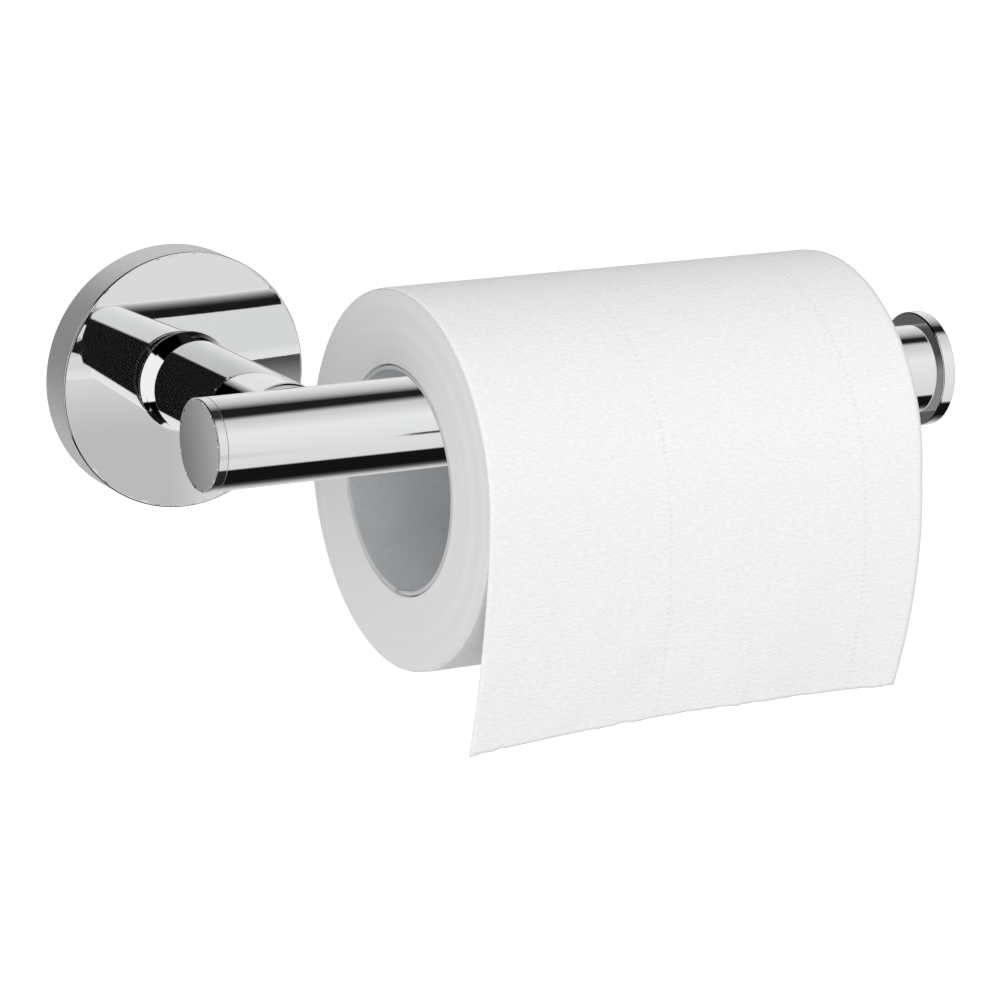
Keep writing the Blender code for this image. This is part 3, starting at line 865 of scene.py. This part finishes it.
WOUND_INNER = CORE_BORE + CORE_WALL + 0.0003
WOUND_RADIUS = 0.03915
WOUND_CORNER = 0.00025
END_RINGS = 60
CORNER_STEPS = 6
WOUND_GREYS = (0.83, 0.85)


def wound_surface(tree):
    """The lightness and relief of the roll's cut ends: rings of ply, with fibres."""
    where = add(tree, "TexCoord", out=3)
    x, y, _ = axes(tree, where)
    across = sums(tree, "SQRT", sums(tree, "ADD", sums(tree, "MULTIPLY", x, x), sums(tree, "MULTIPLY", y, y)))
    rings = add(tree, "TexNoise", None, across, 3200.0, 3.0, noise_dimensions="1D")
    broad = add(tree, "TexNoise", None, across, 420.0, 2.0, noise_dimensions="1D")
    fibre = add(tree, "TexNoise", where, None, 1500.0, 3.0)
    tone = sums(tree, "ADD", sums(tree, "MULTIPLY", rings, 0.55), sums(tree, "MULTIPLY", broad, 0.45))
    lightness = add(tree, "MapRange", tone, 0.3, 0.7, *WOUND_GREYS)
    height = sums(tree, "ADD", sums(tree, "MULTIPLY", rings, 0.7), sums(tree, "MULTIPLY", fibre, 0.3))
    return lightness, relief(tree, height, 0.25, 0.0002)


def tissue(name, surface):
    """White tissue, with the given surface: the wound roll's cut ends, or the creped sheet."""
    paper, tree, shader = start_finish(name)
    shader.inputs["Roughness"].default_value = 0.95
    shader.inputs["Specular IOR Level"].default_value = 0.2
    lightness, bump = surface(tree)
    tree.links.new(lightness, shader.inputs["Base Color"])
    tree.links.new(bump, shader.inputs["Normal"])
    return paper


def end_face(radius, side):
    """How far the turn at this radius stands proud of the roll's end."""
    wander = noise.noise(Vector((radius * 2600, 7.0 * side, 0)))
    swell = noise.noise(Vector((radius * 400, 3.0 * side, 5)))
    return 0.00004 * wander + 0.00008 * swell


def wind_paper():
    """The wound paper: uneven ends between the core and the rounded corners, and a plain outside."""
    outline = []
    flat = WOUND_RADIUS - WOUND_CORNER
    rings = [WOUND_INNER + (flat - WOUND_INNER) * i / END_RINGS for i in range(END_RINGS + 1)]
    corner = [math.pi / 2 * i / CORNER_STEPS for i in range(1, CORNER_STEPS + 1)]
    for radius in rings:
        outline.append((radius, end_face(radius, 1)))
    for a in corner:
        outline.append((flat + WOUND_CORNER * math.sin(a), WOUND_CORNER * (1 - math.cos(a))))
    for a in reversed(corner):
        outline.append((flat + WOUND_CORNER * math.sin(a), ROLL_WIDE - WOUND_CORNER * (1 - math.cos(a))))
    for radius in reversed(rings):
        outline.append((radius, ROLL_WIDE + end_face(radius, 2)))
    wound = lathe("wound_paper", outline, (1, 0, 0), ROLL_CENTRE, ROLL_SEGMENTS)
    wound.visible_glossy = False
    fit(wound, tissue("tissue_wound", wound_surface), "roll", "tissue", "paper_roll")


wind_paper()

# ---------------------------------------------------------------------------------------------------
# The loose end: the last turn of the sheet, lying on the roll, and the part that hangs off its front.
# It is tissue with a fine crepe across it and two dotted lines, rolled in to hold its plies together.

SHEET_THICK = 0.0002
SHEET_RADIUS = WOUND_RADIUS + 0.00015
SHEET_LIFT = 0.0003  # over its own start, on the front of the roll
SHEET_START = math.radians(60)
SHEET_TURN = SHEET_START + 2 * math.pi
SHEET_ROUND = SHEET_TURN * SHEET_RADIUS  # length that lies on the roll
SHEET_DROP = 0.0485
SHEET_SHORTER = 0.0010  # how much less hangs at the right edge than at the left
SHEET_BOW = 0.0016
SHEET_CURL_LEFT = 0.0056
SHEET_CURL_RIGHT = 0.0074
SHEET_WIDER = 0.0004  # the sheet is a little wider than the roll
SHEET_BELLY = 0.0009
SHEET_TUCK = 0.00012  # its side edges lie a little closer to the roll
SHEET_TUCK_WIDTH = 0.0008
LIFT_FROM = 0.72
LIFT_OVER = 0.13
SHEET_ROWS_ROUND = 220
SHEET_ROWS_DOWN = 70
SHEET_COLUMNS = 100

LINES_AT = (0.0378, 0.0841)  # from the sheet's left edge, where it comes over the top of the roll
LINE_FROM = 0.232  # how far the sheet has travelled there from its hidden start
LINE_DRIFT = 0.055
DOT_PITCH = 0.0013
DOT_RADIUS = 0.0004
CREPE_GREYS = (0.83, 0.92)
CREPE_SCALE = (760.0, 2500.0, 1.0)
FOLD_SCALE = (260.0, 1500.0, 1.0)


def ply_lines(tree, along, travelled):
    """Two lines of small pressed dots that run the length of the sheet, drifting slightly across it."""
    drift = sums(tree, "MULTIPLY", sums(tree, "SUBTRACT", travelled, LINE_FROM), LINE_DRIFT)
    lines = None
    for at in LINES_AT:
        off = sums(tree, "SUBTRACT", along, sums(tree, "ADD", drift, at))
        step = sums(tree, "SUBTRACT", sums(tree, "FRACT", sums(tree, "DIVIDE", travelled, DOT_PITCH)), 0.5)
        step = sums(tree, "MULTIPLY", step, DOT_PITCH)
        squares = sums(tree, "ADD", sums(tree, "MULTIPLY", off, off), sums(tree, "MULTIPLY", step, step))
        away = sums(tree, "SQRT", squares)
        dots = fade(tree, away, DOT_RADIUS, DOT_RADIUS * 0.4)
        lines = dots if lines is None else sums(tree, "MAXIMUM", lines, dots)
    return lines


def creped_surface(tree):
    """The lightness and relief of the sheet: crepe and longer folds across it, the dotted lines, and a
    painted highlight along its left edge.
    """
    where = add(tree, "UVMap")
    along, travelled, _ = axes(tree, where)
    stretch = add(tree, "Mapping", where, None, None, CREPE_SCALE)
    crepe = add(tree, "TexNoise", stretch, None, 1.0, 3.0, 0.6)
    long_stretch = add(tree, "Mapping", where, None, None, FOLD_SCALE)
    folds = add(tree, "TexNoise", long_stretch, None, 1.0, 2.0)
    coarse = add(tree, "TexNoise", where, None, 140.0, 2.0)
    rolled = ply_lines(tree, along, travelled)
    lightness = add(tree, "MapRange", crepe, 0.32, 0.68, *CREPE_GREYS)
    lightness = sums(tree, "SUBTRACT", lightness, sums(tree, "MULTIPLY", rolled, 0.03))
    # Painted highlight: the sheet is made lighter within a millimetre of its left edge only, where the light
    # catches it.
    painted_edge_highlight = fade(tree, along, 0.0009, 0.0003)
    lightness = sums(tree, "ADD", lightness, sums(tree, "MULTIPLY", painted_edge_highlight, 0.05))
    height = sums(tree, "ADD", crepe, sums(tree, "MULTIPLY", folds, 0.8), sums(tree, "MULTIPLY", coarse, 0.5))
    height = sums(tree, "SUBTRACT", height, sums(tree, "MULTIPLY", rolled, 0.5))
    return lightness, relief(tree, height, 0.55, 0.0003)


def tuck(across):
    """How much closer to the roll the sheet lies near its side edges."""
    near_edge = min(across, 1 - across) * ROLL_WIDE
    return SHEET_TUCK * max(0.0, 1 - near_edge / SHEET_TUCK_WIDTH) ** 2


def on_roll(share, across):
    """A point of the part that lies on the roll, and how far the sheet has travelled there."""
    angle = SHEET_START - SHEET_TURN * share
    lift = SHEET_LIFT * max(0.0, min(1.0, (share - LIFT_FROM) / LIFT_OVER))
    radius = SHEET_RADIUS + lift - tuck(across)
    x = ROLL_START + (ROLL_WIDE + SHEET_WIDER) * across
    y = -ROLL_OUT - radius * math.cos(angle)
    z = -ROLL_DOWN + radius * math.sin(angle)
    return (x, y, z), SHEET_ROUND * share


def hanging(share, across):
    """A point of the part that hangs, curling back towards the roll, and how far the sheet has travelled."""
    x = ROLL_START + ROLL_WIDE * across
    curl = SHEET_CURL_LEFT + (SHEET_CURL_RIGHT - SHEET_CURL_LEFT) * across
    bow = SHEET_BOW * math.sin(math.pi * across)
    drop = (SHEET_DROP - SHEET_SHORTER * across - bow * share) * share
    wave = noise.noise(Vector((x * 40, drop * 30, 2))) * 0.0008 * share
    wave += noise.noise(Vector((x * 130, drop * 90, 9))) * 0.00025 * share
    ragged = noise.noise(Vector((x * 900, 1, 4))) * 0.00018
    ragged += noise.noise(Vector((x * 260, 1, 8))) * 0.0003
    y = -ROLL_OUT - SHEET_RADIUS - SHEET_LIFT + tuck(across) * max(0.0, 1 - share * 8) + curl * share**2
    y += wave - 0.0004 * share
    z = -ROLL_DOWN - drop + ragged * share**6
    x += (0.0008 * across - 0.0011) * share**2
    x += SHEET_WIDER * across + SHEET_BELLY * across * math.sin(math.pi * share)
    return (x, y, z), SHEET_ROUND + drop


def hang_sheet():
    """The sheet as one grid, from its hidden start, once round the roll, and down to the torn edge."""
    rows = [(on_roll, i / SHEET_ROWS_ROUND) for i in range(SHEET_ROWS_ROUND)]
    rows += [(hanging, i / SHEET_ROWS_DOWN) for i in range(SHEET_ROWS_DOWN + 1)]
    built = bmesh.new()
    layer = built.loops.layers.uv.new("sheet")
    grid, places = [], []
    for lies, share in rows:
        line, marks = [], []
        for k in range(SHEET_COLUMNS + 1):
            across = k / SHEET_COLUMNS
            point, travelled = lies(share, across)
            line.append(built.verts.new(point))
            marks.append((across * ROLL_WIDE, travelled))
        grid.append(line)
        places.append(marks)
    for r in range(len(grid) - 1):
        for k in range(SHEET_COLUMNS):
            spots = [(r, k), (r, k + 1), (r + 1, k + 1), (r + 1, k)]
            face = built.faces.new([grid[a][b] for a, b in spots])
            for loop, (a, b) in zip(face.loops, spots):
                loop[layer].uv = places[a][b]
    mesh = bpy.data.meshes.new("loose_sheet")
    built.normal_update()
    built.to_mesh(mesh)
    built.free()
    mesh.shade_smooth()
    sheet = bpy.data.objects.new("loose_sheet", mesh)
    bpy.context.scene.collection.objects.link(sheet)
    skin = sheet.modifiers.new("ply", "SOLIDIFY")
    skin.thickness = SHEET_THICK
    skin.offset = 0
    sheet.visible_glossy = False
    fit(sheet, tissue("tissue_sheet", creped_surface), "loose_end", "tissue", "paper_tail")


hang_sheet()
